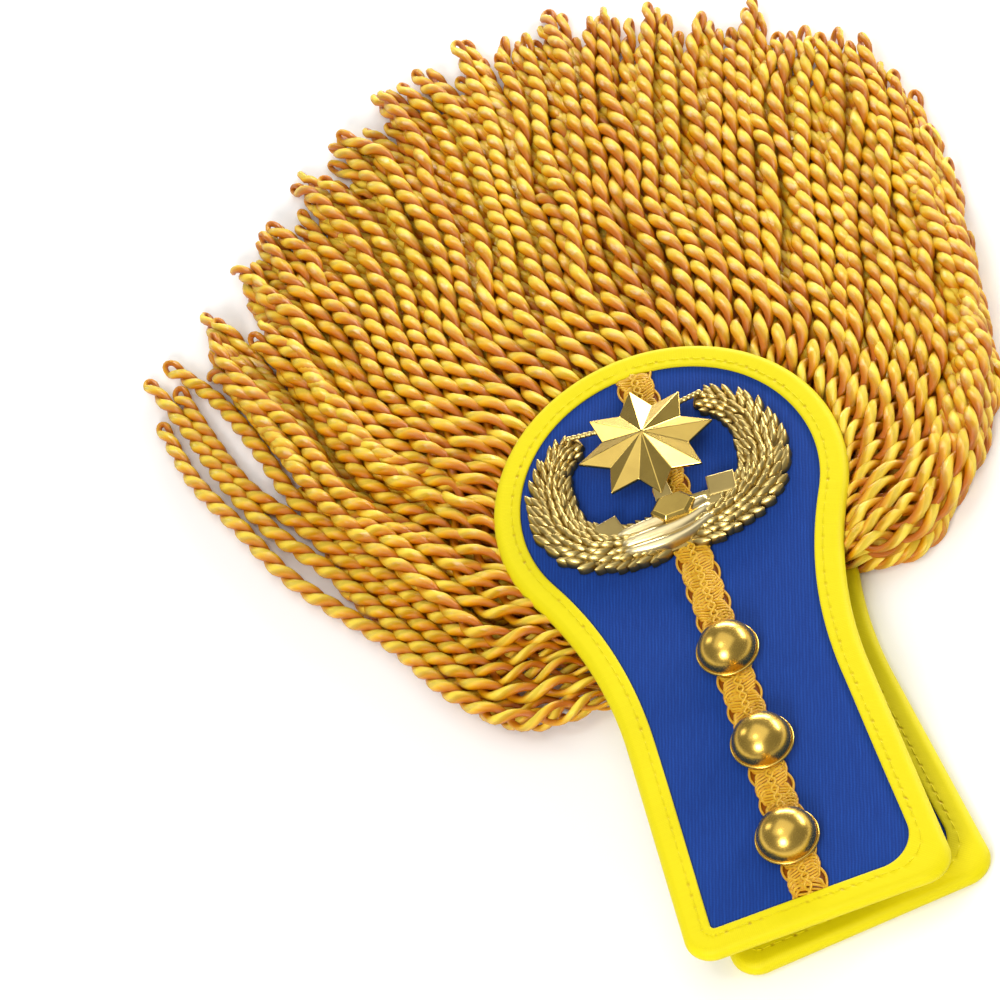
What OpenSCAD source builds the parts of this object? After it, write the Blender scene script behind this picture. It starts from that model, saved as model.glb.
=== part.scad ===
// Tassel epaulette, in millimetres: two bound cloth boards of keyhole outline, sewn together at the
// round shoulder end with the head of a bullion fringe between them, and dressed with a gimp braid,
// three gilt buttons and a cast badge. It lies flat: the under board rests on the floor at z = 0, the
// round end points to +Y and the strap to -Y. Places are counted from the round end's centre, and
// every node is then moved so that the whole stands over the origin.

/* [Board] */
// Radius of the round shoulder end, over the binding
round_r = 40; // [38:0.5:42]
// From the round end's centre to the strap's square end, over the binding
strap_reach = 118; // [112:1:122]
// Half the width at the waist, over the binding
waist_half = 27.5; // [26.5:0.5:28.5]
// From the round end's centre back to the waist
waist_back = 58; // [55:1:62]
// Half the width at the strap's square end, over the binding
end_half = 29.5; // [29:0.5:31]
// Radius of the strap's two outer corners
end_corner = 6; // [4:0.5:8]
// Thickness of a cloth-covered board
board_t = 3; // [2.6:0.1:3.2]
// Thickness of a board's rim where the tape presses it
rim_t = 1.8; // [1.6:0.1:2]

/* [Binding tape] */
// Width of the tape on each face
tape_w = 6.3; // [5.5:0.1:7.5]
// Thickness of the folded tape
tape_t = 1; // [0.8:0.1:1.1]
// Inner corner radius beside the mitred fold, at -X
mitre_corner = 1; // [0.6:0.2:2]
// Inner corner radius where the tape is eased round, at +X
eased_corner = 8; // [5:0.5:10]

/* [Under board] */
// Clear height between the two bound boards
flap_gap = 5; // [4.6:0.1:6]
// Turn of the under board about the round end's centre, in degrees
flap_turn = 4; // [2:0.1:4.5]

/* [Braid] */
// Width of the gimp braid over its scallops
braid_w = 9; // [8:0.5:10]
// Thickness of the gimp braid
braid_t = 1.6; // [1.2:0.1:2]
// Length of one scallop
scallop_l = 8.4; // [7.5:0.1:9.5]
// Turn of the braid about the round end's centre, in degrees
braid_turn = -0.8; // [-2:0.1:0]
// Sideways place of the braid
braid_x = 0.5; // [0:0.1:1]

/* [Buttons] */
// Radius of a button's rim
button_r = 7; // [6:0.5:7.5]
// Radius of the dome where it leaves the rim
dome_r = 6.5; // [5.5:0.1:6.8]
// Height of the dome above the rim
dome_h = 6; // [4.5:0.5:6.4]
// Height of the rim
button_rim_h = 0.8; // [0.6:0.1:1.2]

/* [Badge] */
// Half the length of the oval that the middle leaves follow
wreath_a = 24; // [23:0.1:25]
// Depth of that oval below the wreath's centre
wreath_low = 16; // [15:0.1:17]
// Height of that oval above the wreath's centre
wreath_high = 19; // [18:0.1:20]
// Width of the band of leaves at the sides
leaf_band = 11.2; // [9:0.2:12]
// Direction of the branch ends from the wreath's centre, in degrees above level
branch_end = 51; // [46:1:54]
// Leaves in one row of a branch
leaf_count = 12; // [10:1:14]
// Height of the wreath
wreath_h = 3.4; // [3:0.1:4]
// Length of a star's ray
ray_long = 14.9; // [14:0.1:16]
// Length of the two level rays
ray_level = 15.6; // [15:0.1:17]
// Radius of the valleys between rays
ray_valley = 9.9; // [8:0.1:11]
// Rise of the star's point over its rim
star_rise = 4.2; // [3:0.1:5]

/* [Fringe] */
// Place behind the round end's centre where the fringe starts, at -X
left_start = 44; // [40:1:46]
// Place behind the round end's centre where the fringe ends, at +X
right_start = 31; // [29:1:34]
// Number of locks
lock_count = 34; // [28:2:38]
// Height of the fringe where it has come over the edge
bed_top = 12; // [10:0.5:13]
// Height of the fringe at its tips
bed_end = 7.5; // [6:0.5:9]
// Width of the fringe's woven head between the boards
head_w = 11; // [9:0.5:13]

/* [Hidden] */
$fn = 64;

clear = 0.1;       // between a board's rim and the tape round it
seat = 0.15;       // between a piece and the piece that carries it
bound_t = rim_t + 2 * (clear + tape_t);
board_lift = (bound_t - board_t) / 2;
top_z = bound_t + flap_gap;
cloth_z = top_z + board_lift + board_t;
braid_z = cloth_z + clear;
button_z = braid_z + braid_t + seat;
badge_z = cloth_z + seat;
badge_place = [-1.5, 3.5];

// One row for each button: its place across and along the board.
button_places = [[0.1, -47.4], [0.3, -73], [-1.6, -97.8]];

// The bullions' way. Columns: place among the locks, share of the fringe's root, heading as they
// leave it, pull of that heading, the tip's place across and along, heading at the tip, pull of that
// heading. A heading is in degrees from +X, and a pull is counted in distances from root to tip.
bullion_rows = [
    [0.00, 0.0, 206, 0.50, -105.7,  73.5, 102, 1.10],
    [0.08, 0.1, 205, 0.68, -103.5,  88,   107, 1.10],
    [0.15, 0.2, 190, 0.85,  -96.5,  98.5, 110, 1.10],
    [0.22, 0.3, 169, 1.00,  -85,   107.5, 112, 1.00],
    [0.34, 0.4, 142, 1.00,  -66,   127,   110, 1.00],
    [0.48, 0.5, 110, 1.00,  -27.5, 150.5, 101, 1.00],
    [0.62, 0.6,  79, 1.00,   17,   153,    92, 1.00],
    [0.75, 0.7,  48, 0.95,   57,   133,    84, 1.00],
    [0.85, 0.8,  18, 0.90,   80.5, 108,    81, 1.10],
    [0.93, 0.9,   0, 0.90,   87,    85,    79, 1.15],
    [1.00, 1.0, -12, 1.02,   88.5,  61,    72, 1.20]
];

// The sides of the neck are arcs of neck_r about (+-neck_x, -waist_back), tangent to the round end.
neck_r = (pow(waist_half, 2) + pow(waist_back, 2) - pow(round_r, 2)) / (2 * (round_r - waist_half));
neck_x = waist_half + neck_r;
neck_dir = atan2(waist_back, neck_x);
// The strap's sides run straight from those arcs to the square end, at side_dir to the Y axis.
end_from_neck = [end_half - neck_x, waist_back - strap_reach];
side_dir = atan2(-end_from_neck[1], -end_from_neck[0]) - acos(neck_r / norm(end_from_neck));

function turned(dir) = [cos(dir), sin(dir)];
function mirrored(p) = [-p[0], p[1]];
function arc(centre, r, from, to, steps) =
    [for (i = [0 : steps]) centre + r * turned(from + (to - from) * i / steps)];
// The centre of a corner's arc: r inside the end's edge and inside the strap's straight side.
function corner_centre(inset, r) =
    let (start = [neck_x, -waist_back] - (neck_r + inset) * turned(side_dir),
         y = -strap_reach + inset + r)
    [start[0] - (y - start[1]) * tan(side_dir) - r / cos(side_dir), y];
round_steps = 36;
neck_steps = 14;
corner_steps = 6;
function half_outline(inset, corner_r) = concat(
    arc([0, 0], round_r - inset, 90, -neck_dir, round_steps),
    arc([neck_x, -waist_back], neck_r + inset, 180 - neck_dir, 180 + side_dir, neck_steps),
    arc(corner_centre(inset, corner_r), corner_r, side_dir, -90, corner_steps));

// The keyhole outline, inset from the outside of the binding, with its own radius at each corner.
module keyhole(inset, left_r, right_r) {
    right = half_outline(inset, right_r);
    left = half_outline(inset, left_r);
    polygon(concat(right, [for (i = [len(left) - 1 : -1 : 1]) mirrored(left[i])]));
}

module outer_shape(inset) {
    keyhole(inset, end_corner - inset, end_corner - inset);
}

module panel_shape(inset) {
    keyhole(inset, mitre_corner, eased_corner);
}

// A stiff board in cloth: full thickness inside the tape, pressed thinner under it.
module board() {
    translate([0, 0, board_lift]) linear_extrude(board_t) panel_shape(tape_w + clear);
    translate([0, 0, tape_t + clear]) linear_extrude(rim_t) outer_shape(tape_t + clear);
}

// Bias tape folded over a board's edge, with a lip on each face.
module binding() {
    through = 1;
    difference() {
        linear_extrude(bound_t) outer_shape(0);
        translate([0, 0, -through]) linear_extrude(bound_t + 2 * through) panel_shape(tape_w);
        translate([0, 0, tape_t]) linear_extrude(rim_t + 2 * clear) outer_shape(tape_t);
    }
}

// The gimp's scallops swell on either side in turn. It is cut off along the tape.
braid_core = 0.5;
scallop_steps = 6;
function braid_edge(y, side) =
    side * braid_w / 2
    * (braid_core + (1 - braid_core) * abs(sin(180 * y / scallop_l + 45 * (1 + side))));

module braid_shape() {
    ys = [for (y = [-strap_reach : scallop_l / scallop_steps : round_r]) y];
    polygon(concat([for (y = ys) [braid_edge(y, 1), y]],
        [for (i = [len(ys) - 1 : -1 : 0]) [braid_edge(ys[i], -1), ys[i]]]));
}

// A gilt button: a flat rim under a dome that is part of a sphere.
dome_ball = (pow(dome_r, 2) + pow(dome_h, 2)) / (2 * dome_h);

module button_shape() {
    cylinder(r = button_r, h = button_rim_h);
    intersection() {
        translate([0, 0, button_rim_h + dome_h - dome_ball]) sphere(r = dome_ball);
        cylinder(r = button_r, h = button_rim_h + dome_h + 1);
    }
}

// The wreath is a thin band along a squarish oval, open at the top, with three rows of leaves on
// each branch. Directions are seen from the wreath's centre.
band_t = 1.5;
band_steps = 44;
band_lip = 0.8;
end_share = 0.56;
squareness = 2.5;
function oval(dir) =
    let (b = sin(dir) < 0 ? wreath_low : wreath_high)
    turned(dir) / pow(pow(abs(cos(dir)) / wreath_a, squareness) + pow(abs(sin(dir)) / b, squareness),
                      1 / squareness);
function oval_normal(dir) = let (along = oval(dir + 1) - oval(dir - 1)) [along[1], -along[0]] / norm(along);
function smooth(x) = let (t = min(max(x, 0), 1)) t * t * (3 - 2 * t);
function band_half(dir) =
    let (away = abs(dir + 90) / (90 + branch_end))
    leaf_band / 2 * (1 - (1 - end_share) * smooth((away - 0.55) / 0.45));
function band_edge(dir, side) = oval(dir) + side * (band_half(dir) - band_lip) * oval_normal(dir);

// A laurel leaf along +X from its stalk, rising along its midrib towards the tip.
leaf_l = 6.6;
leaf_w = 3.7;
leaf_splay = 26;
leaf_sink = 0.2;
leaf_foot = 0.4;
rib = 0.3;
module leaf(height) {
    hull() {
        linear_extrude(leaf_foot) polygon([[0, 0], [leaf_l * 0.3, leaf_w / 2],
            [leaf_l * 0.65, leaf_w * 0.42], [leaf_l, 0], [leaf_l * 0.65, -leaf_w * 0.42],
            [leaf_l * 0.3, -leaf_w / 2]]);
        translate([leaf_l * 0.1, -rib / 2, 0]) cube([rib, rib, height * 0.45]);
        translate([leaf_l * 0.75, -rib / 2, 0]) cube([rib, rib, height]);
    }
}

// The outer and inner rows splay away from the branch, and the middle row lies over them.
first_leaf = 9;
last_leaf = 12;
function leaf_dir(i, row) =
    first_leaf + (90 + branch_end - first_leaf - last_leaf) * (i + (row == 0 ? 0.5 : 0)) / (leaf_count - 1);
module branch(side) {
    for (i = [0 : leaf_count - 1], row = [-1, 0, 1]) {
        dir = -90 + side * leaf_dir(i, row);
        normal = oval_normal(dir);
        at = oval(dir) + row * (band_half(dir) - leaf_w / 2) * normal;
        heading = atan2(normal[1], normal[0]) + side * 90 - side * row * leaf_splay;
        low = row == 0 ? 0 : 0.4;
        translate([at[0], at[1], band_t - leaf_sink]) rotate(heading) translate([-leaf_l * 0.35, 0])
            leaf(wreath_h - band_t + leaf_sink - low);
    }
}

module wreath() {
    reach = 90 + branch_end;
    dirs = [for (i = [0 : band_steps]) -90 - reach + 2 * reach * i / band_steps];
    linear_extrude(band_t) polygon(concat([for (dir = dirs) band_edge(dir, 1)],
        [for (i = [band_steps : -1 : 0]) band_edge(dirs[i], -1)]));
    branch(-1);
    branch(1);
}

// The badge's plain blocks. Columns: middle across and along, width, depth, height.
star_lift = 3.4;
star_place = [0.2, 8.1];
star_turn = -1.8;
badge_blocks = [
    [-1.9, -12.8, 18.6, 6.8, 4.1],   // the ribbon's upper fold
    [-1.6, -17.4, 17.0, 3.6, 3.2],   // the ribbon's lower fold
    [-13.8, -9.6, 4.6, 4.0, 3.0],    // step at -X
    [13.2, -8.0, 5.2, 4.2, 3.0],     // step at +X
    [8.6, -10.2, 4.4, 3.8, 3.0],     // lower step at +X
    [0.0, -4.6, 4.0, 9.0, 4.0],      // stem from the boss to the star
    [-12.0, 16.5, 8.0, 1.5, 3.9],    // arm from the -X branch to the star
    [11.7, 16.3, 7.4, 1.5, 3.9]      // arm from the +X branch to the star
];

module badge_block(row) {
    translate([row[0], row[1], 0]) linear_extrude(row[4]) square([row[2], row[3]], center = true);
}

// A six-sided boss with a bevelled face, over the scroll.
boss_place = [1.1, -11.2];
boss_size = [5.2, 3.7];
boss_h = 5.2;
boss_bevel = 0.8;
function hexagon(size) = [for (i = [0 : 5]) [size[0] * cos(60 * i), size[1] * sin(60 * i)]];
module boss() {
    translate([boss_place[0], boss_place[1], 0]) hull() {
        linear_extrude(boss_h - boss_bevel) polygon(hexagon(boss_size));
        linear_extrude(boss_h) polygon(hexagon(boss_size - [boss_bevel, boss_bevel]));
    }
}

// The star: eight ridged rays that rise to one point, over a thin rim.
star_rim = 0.8;
ray_step = 22.5;
function star_reach(i) = i % 2 == 1 ? ray_valley : (i % 8 == 0 ? ray_level : ray_long);

module star() {
    rim = [for (i = [0 : 15]) star_reach(i) * turned(i * ray_step)];
    top = [for (p = rim) concat(p, star_rim)];
    base = [for (p = rim) concat(p, 0)];
    polyhedron(points = concat(top, base, [[0, 0, star_rim + star_rise], [0, 0, 0]]), faces = concat(
        [for (i = [0 : 15]) [(i + 1) % 16, i, 32]],
        [for (i = [0 : 15]) each [[i, (i + 1) % 16, 16 + i], [16 + i, (i + 1) % 16, 16 + (i + 1) % 16]]],
        [for (i = [0 : 15]) [16 + i, 16 + (i + 1) % 16, 33]]));
}

// The badge is one casting. A channel underneath lets the braid through, and an arch opens its lower
// edge over the braid.
channel_w = braid_w + 1.8;
channel_h = braid_t + 2 * seat;
arch_r = 4.7;
arch_x = -0.6;
module badge_shape() {
    difference() {
        union() {
            wreath();
            for (row = badge_blocks) badge_block(row);
            boss();
            translate([star_place[0], star_place[1], star_lift]) rotate(star_turn) star();
        }
        translate([-badge_place[0] - channel_w / 2, -2 * wreath_low, -1])
            cube([channel_w, 4 * wreath_low, 1 + channel_h]);
        translate([arch_x, -wreath_low - leaf_band / 2, -1]) cylinder(r = arch_r, h = 2 + wreath_h);
    }
}

// The fringe's root runs round the outline: along the -X neck, the round end and the +X neck.
left_dir = asin((waist_back - left_start) / neck_r);
right_dir = asin((waist_back - right_start) / neck_r);
left_run = neck_r * (neck_dir - left_dir) * PI / 180;
round_run = round_r * (180 + 2 * neck_dir) * PI / 180;
right_run = neck_r * (neck_dir - right_dir) * PI / 180;
root_run = left_run + round_run + right_run;

// The heading of the outline's outward normal at a distance along the root.
function root_dir(run) =
    run < left_run ? 180 + left_dir + (neck_dir - left_dir) * run / left_run
    : run < left_run + round_run ? 180 + neck_dir - (run - left_run) / round_r * 180 / PI
    : -neck_dir + (neck_dir - right_dir) * (run - left_run - round_run) / right_run;
function root_point(share, inset) =
    let (run = share * root_run, out = turned(root_dir(run)))
    run < left_run ? [-neck_x, -waist_back] - (neck_r + inset) * out
    : run < left_run + round_run ? (round_r - inset) * out
    : [neck_x, -waist_back] - (neck_r + inset) * out;

// A bullion's way is a curve with a set heading and pull at both ends, from a point edge_drop
// outside the binding.
edge_drop = 3;
function column(place, n) = lookup(place, [for (row = bullion_rows) [row[0], row[n]]]);
function bullion_point(place, t) =
    let (from = root_point(column(place, 1), -edge_drop),
         tip = [column(place, 4), column(place, 5)],
         reach = norm(tip - from),
         leave = reach * column(place, 3) * turned(column(place, 2)),
         arrive = reach * column(place, 7) * turned(column(place, 6)))
    (2 * pow(t, 3) - 3 * pow(t, 2) + 1) * from + (pow(t, 3) - 2 * pow(t, 2) + t) * leave
    + (3 * pow(t, 2) - 2 * pow(t, 3)) * tip + (pow(t, 3) - pow(t, 2)) * arrive;

// The mesh has three columns a lock: a low short one in the groove and two high long ones. Its rows
// are the head's inner edge, the head's outer edge, and the bullions' way in way_steps. The fringe
// is lower along its two outer edges.
last_c = 3 * lock_count;
way_steps = 11;
last_r = way_steps + 2;
groove = 1.8;
groove_short = 0.04;
ragged = 0.03;
edge_sink = 1.6;
tip_drop = 2.4;
head_out = 0.6;
head_low = bound_t + seat;
head_high = top_z - seat;
function in_groove(c) = c % 3 == 0;
function shorter(c) =
    let (lock = floor((c + 1) / 3)) ragged * (1 + 0.6 * sin(97 * lock) + 0.4 * sin(211 * lock));
function run_end(c) = 1 - (in_groove(c) ? groove_short : 0) - shorter(c);
function line_point(c, r) =
    let (place = c / last_c)
    r == 0 ? root_point(column(place, 1), head_w)
    : r == 1 ? root_point(column(place, 1), -head_out)
    : bullion_point(place, run_end(c) * (r - 2) / way_steps);
function row_base(r) = r < 3 ? head_low : 0;
function full_top(c, r) =
    bed_end + (bed_top - bed_end) * (1 - smooth((r - 3) / (way_steps - 2)))
    - (r == 2 ? edge_sink : 0) - (in_groove(c) ? groove : 0) - (r == last_r ? tip_drop : 0);
function edge_share(c) = lookup(min(c, last_c - c), [[0, 0.4], [1, 0.75], [3, 1]]);
function row_top(c, r) = r < 2 ? head_high : row_base(r) + edge_share(c) * (full_top(c, r) - row_base(r));

lines = [for (c = [0 : last_c]) [for (r = [0 : last_r]) line_point(c, r)]];

module fringe_shape() {
    sheet = (last_c + 1) * (last_r + 1);
    tops = [for (c = [0 : last_c], r = [0 : last_r]) concat(lines[c][r], row_top(c, r))];
    bases = [for (c = [0 : last_c], r = [0 : last_r]) concat(lines[c][r], row_base(r))];
    function at(c, r) = c * (last_r + 1) + r;
    polyhedron(points = concat(tops, bases), faces = concat(
        [for (c = [0 : last_c - 1], r = [0 : last_r - 1])
            each [[at(c, r), at(c, r + 1), at(c + 1, r)], [at(c, r + 1), at(c + 1, r + 1), at(c + 1, r)]]],
        [for (c = [0 : last_c - 1], r = [0 : last_r - 1])
            each [[sheet + at(c, r), sheet + at(c + 1, r), sheet + at(c, r + 1)],
                  [sheet + at(c, r + 1), sheet + at(c + 1, r), sheet + at(c + 1, r + 1)]]],
        [for (c = [0 : last_c - 1]) each [
            [at(c, 0), at(c + 1, 0), sheet + at(c, 0)],
            [sheet + at(c, 0), at(c + 1, 0), sheet + at(c + 1, 0)],
            [at(c, last_r), sheet + at(c, last_r), at(c + 1, last_r)],
            [sheet + at(c, last_r), sheet + at(c + 1, last_r), at(c + 1, last_r)]]],
        [for (r = [0 : last_r - 1]) each [
            [at(0, r), sheet + at(0, r), at(0, r + 1)],
            [sheet + at(0, r), sheet + at(0, r + 1), at(0, r + 1)],
            [at(last_c, r), at(last_c, r + 1), sheet + at(last_c, r)],
            [sheet + at(last_c, r), at(last_c, r + 1), sheet + at(last_c, r + 1)]]]));
}

// The middle of the whole, from the fringe's reach and the turned under board's square end.
fringe_xs = [for (line = lines, p = line) p[0]];
fringe_ys = [for (line = lines, p = line) p[1]];
flap_corner = corner_centre(0, end_corner);
flap_low = -flap_corner[0] * sin(flap_turn) + flap_corner[1] * cos(flap_turn) - end_corner;
middle = [(min(fringe_xs) + max(fringe_xs)) / 2, (flap_low + max(fringe_ys)) / 2];

module placed(x, y, z) {
    translate([x - middle[0], y - middle[1], z]) children();
}

module under_board() {
    color("royalblue") placed(0, 0, 0) rotate(flap_turn) board();
}

module under_binding() {
    color("yellow") placed(0, 0, 0) rotate(flap_turn) binding();
}

module fringe() {
    color("darkgoldenrod") placed(0, 0, 0) fringe_shape();
}

module top_board() {
    color("royalblue") placed(0, 0, top_z) board();
}

module top_binding() {
    color("yellow") placed(0, 0, top_z) binding();
}

module braid() {
    color("goldenrod") placed(0, 0, braid_z) linear_extrude(braid_t) intersection() {
        panel_shape(tape_w + seat);
        translate([braid_x, 0]) rotate(braid_turn) braid_shape();
    }
}

module badge() {
    color("darkkhaki") placed(badge_place[0], badge_place[1], badge_z) badge_shape();
}

module button(place) {
    color("gold") placed(place[0], place[1], button_z) button_shape();
}

under_board();
under_binding();
fringe();
top_board();
top_binding();
braid();
badge();
button(button_places[0]);  // button_1
button(button_places[1]);  // button_2
button(button_places[2]);  // button_3
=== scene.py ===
import math
from functools import partialmethod

import bpy
import numpy as np
from mathutils import Matrix, Vector


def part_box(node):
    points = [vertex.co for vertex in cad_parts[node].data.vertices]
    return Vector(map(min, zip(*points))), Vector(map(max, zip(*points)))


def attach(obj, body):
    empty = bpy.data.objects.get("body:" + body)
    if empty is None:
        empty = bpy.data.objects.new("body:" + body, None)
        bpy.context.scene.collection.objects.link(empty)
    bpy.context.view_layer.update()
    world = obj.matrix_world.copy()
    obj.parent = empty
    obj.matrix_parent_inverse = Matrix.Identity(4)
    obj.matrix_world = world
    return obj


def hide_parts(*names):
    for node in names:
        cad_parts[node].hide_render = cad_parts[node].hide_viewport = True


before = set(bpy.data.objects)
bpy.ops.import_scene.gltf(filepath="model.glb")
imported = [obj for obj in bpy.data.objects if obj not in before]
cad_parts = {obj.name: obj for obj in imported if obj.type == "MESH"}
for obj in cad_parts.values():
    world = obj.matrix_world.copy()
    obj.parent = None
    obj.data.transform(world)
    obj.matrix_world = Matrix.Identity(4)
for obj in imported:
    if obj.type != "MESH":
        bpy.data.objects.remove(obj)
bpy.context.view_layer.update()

# The under board: a stiff keyhole-shaped board covered in royal blue ribbed cloth. It is the
# epaulette's own under flap, sewn to the top board round the shoulder end and turned beside it.
# The cloth is stretched over the board and glued, so it swells a little inside the tape.
MM = 0.001
CIRCLE = 2 * math.pi
ROUND_R, STRAP_REACH, WAIST_HALF, WAIST_BACK = 40.0, 118.0, 27.5, 58.0
END_HALF, END_CORNER = 29.5, 6.0
MITRE_R, EASED_R = 1.0, 8.0      # the cloth's corners at -X and +X
TAPE_W = 6.3
FLAP_TURN = 4.0
CLOTH_INSET = 6.1                # the cloth runs just under the tape's inner fold
CLOTH_SWELL = 0.25

NECK_R = (WAIST_HALF ** 2 + WAIST_BACK ** 2 - ROUND_R ** 2) / (2 * (ROUND_R - WAIST_HALF))
NECK_X = WAIST_HALF + NECK_R
NECK_DIR = math.degrees(math.atan2(WAIST_BACK, NECK_X))
neck_to_end = np.array([END_HALF - NECK_X, WAIST_BACK - STRAP_REACH])
SIDE_DIR = math.degrees(math.atan2(-neck_to_end[1], -neck_to_end[0])
                        - math.acos(NECK_R / np.linalg.norm(neck_to_end)))


def corners(node):
    """A solid's lowest and highest corners, in millimetres."""
    return [np.array(corner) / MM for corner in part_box(node)]


tape_low, tape_high = corners("top_binding")
round_mid = np.array([(tape_low[0] + tape_high[0]) / 2, tape_high[1] - ROUND_R])


def joined(*values):
    """Values of matching shapes, side by side in a new last column."""
    return np.stack(np.broadcast_arrays(*values), -1)


def heading(degrees):
    """Unit vectors at angles from +X, as rows of x and y."""
    turn = np.radians(degrees)
    return joined(np.cos(turn), np.sin(turn))


def swung(plan, degrees):
    """A plan turned by an angle."""
    return plan[..., :1] * heading(degrees) + plan[..., 1:] * heading(degrees + 90)


def half_outline(inset, corner_r):
    """The right half of a board's outline at an inset from the tape's outside, from the top of the
    round end down: an arc about the round end, the neck's hollow arc, a straight side and a corner."""
    neck_mid = np.array([NECK_X, -WAIST_BACK])
    round_arc = (ROUND_R - inset) * heading(np.linspace(89.2, -NECK_DIR, 112))
    neck_arc = neck_mid + (NECK_R + inset) * heading(np.linspace(180 - NECK_DIR, 180 + SIDE_DIR, 62))
    y = -STRAP_REACH + inset + corner_r
    slope, lean = math.tan(math.radians(SIDE_DIR)), math.cos(math.radians(SIDE_DIR))
    corner_x = neck_arc[-1, 0] - (y - neck_arc[-1, 1]) * slope - corner_r / lean
    corner_arc = [corner_x, y] + corner_r * heading(np.linspace(SIDE_DIR, -90, 18))
    side = neck_arc[-1] + (corner_arc[0] - neck_arc[-1]) * np.linspace(0, 1, 64)[1:-1, None]
    return np.concatenate([round_arc, neck_arc[1:], side, corner_arc])


def laid(plan, height, turn=0.0):
    """Points of a board's own plan, turned about the round end's centre, with their heights."""
    spot = swung(plan, turn) + round_mid
    return joined(spot[..., 0], spot[..., 1], height)


def ripple(x, y, reach, seed):
    """A soft unevenness between -1 and 1: five sine waves across each other, reach apart."""
    rng = np.random.default_rng(seed)
    waves = [np.sin((x * math.cos(a) + y * math.sin(a)) * CIRCLE / (reach * k) + p)
             for a, k, p in zip(rng.uniform(0, 3.14, 5), rng.uniform(0.7, 1.8, 5), rng.uniform(0, 6.28, 5))]
    return np.mean(waves, axis=0)


def grid_quads(rows, columns, closed=False):
    """Quads between the points of a grid numbered row by row; closed joins the last column to the first."""
    r = np.arange(rows - 1)[:, None]
    c = np.arange(columns if closed else columns - 1)[None, :]
    after = (c + 1) % columns
    return np.stack([r * columns + c, r * columns + after, (r + 1) * columns + after,
                     (r + 1) * columns + c], -1).reshape(-1, 4)


def tubes(rings, uv=None, **marks):
    """Closed tubes from rings of points, as (tube, ring, side, xyz), with a centre point at each end.
    The faces are turned outwards by the sign of the first tube's volume. The uv, in millimetres, and
    the marks are one value a ring point."""
    count, rows, sides = rings.shape[:3]
    size = rows * sides + 2

    def with_ends(values):
        ends = [values[:, k].reshape(count, sides, -1).mean(1, keepdims=True) for k in (0, -1)]
        return np.concatenate([values.reshape(count, rows * sides, -1), *ends], 1).reshape(count * size, -1)

    points = with_ends(rings)
    quads = grid_quads(rows, sides, closed=True)
    side = np.arange(sides)
    after = (side + 1) % sides
    end = (rows - 1) * sides
    tris = np.concatenate([np.stack([np.full(sides, size - 2), after, side], -1),
                           np.stack([np.full(sides, size - 1), end + side, end + after], -1)])
    a, b, c, d = (points[quads[:, k]] - points[0] for k in range(4))
    volume = np.einsum("ij,ij->", np.cross(a, b), c) + np.einsum("ij,ij->", np.cross(a, c), d)
    if volume < 0:
        quads, tris = quads[:, ::-1], tris[:, ::-1]
    starts = np.arange(count)[:, None, None] * size
    quads, tris = (quads + starts).reshape(-1, 4), (tris + starts).reshape(-1, 3)
    part = {"points": points, "quads": quads, "tris": tris}
    if uv is not None:
        part["uv"] = with_ends(uv)
    for mark, values in marks.items():
        part[mark] = with_ends(np.broadcast_to(values, rings.shape[:3])[..., None])[:, 0]
    return part


def patches(grids, **marks):
    """Open patches from grids of points, as (patch, row, column, xyz), turned so that they face up."""
    count, rows, columns = grids.shape[:3]
    quads = grid_quads(rows, columns)
    spot = grids[0].reshape(-1, 3)
    face_up = np.cross(spot[quads[:, 2]] - spot[quads[:, 0]], spot[quads[:, 3]] - spot[quads[:, 1]])[:, 2]
    if face_up.sum() < 0:
        quads = quads[:, ::-1]
    quads = (quads + np.arange(count)[:, None, None] * rows * columns).reshape(-1, 4)
    part = {"points": grids.reshape(-1, 3), "quads": quads, "tris": np.empty((0, 3), int)}
    for mark, values in marks.items():
        part[mark] = np.broadcast_to(values, grids.shape[:3]).reshape(-1)
    return part


def placed(name, data):
    """A new object in the scene."""
    made = bpy.data.objects.new(name, data)
    bpy.context.scene.collection.objects.link(made)
    return made


def sew(name, parts, finish, slot, *nodes, smooth=True):
    """One piece from parts in millimetres: its mesh, its UV map, its marks as attributes, its finish,
    the solids that it stands for and the body that it rides on."""
    starts = np.cumsum([0] + [len(part["points"]) for part in parts[:-1]])
    quads, tris = (np.concatenate([part[kind] + s for part, s in zip(parts, starts)])
                   for kind in ("quads", "tris"))
    marks = {key: np.concatenate([part[key] for part in parts])
             for key in parts[0] if key not in ("quads", "tris")}
    points = marks.pop("points") * MM
    loops = np.concatenate([quads.ravel(), tris.ravel()]).astype(np.int32)
    firsts = np.concatenate([np.arange(len(quads)) * 4, len(quads) * 4 + np.arange(len(tris)) * 3])
    mesh = bpy.data.meshes.new(name)
    mesh.vertices.add(len(points))
    mesh.vertices.foreach_set("co", points.ravel().astype(np.float32))
    mesh.loops.add(len(loops))
    mesh.loops.foreach_set("vertex_index", loops)
    mesh.polygons.add(len(firsts))
    mesh.polygons.foreach_set("loop_start", firsts.astype(np.int32))
    mesh.polygons.foreach_set("use_smooth", np.full(len(firsts), smooth))
    if "uv" in marks:
        uv = marks.pop("uv")[loops].ravel().astype(np.float32)
        mesh.uv_layers.new(name="UVMap").data.foreach_set("uv", uv)
    for mark, values in marks.items():
        mesh.attributes.new(mark, "FLOAT", "POINT").data.foreach_set("value", values.astype(np.float32))
    mesh.update(calc_edges=True)
    mesh.materials.append(finish)
    piece = placed(name, mesh)
    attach(piece, "root")
    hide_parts(*nodes)
    return piece


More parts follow.
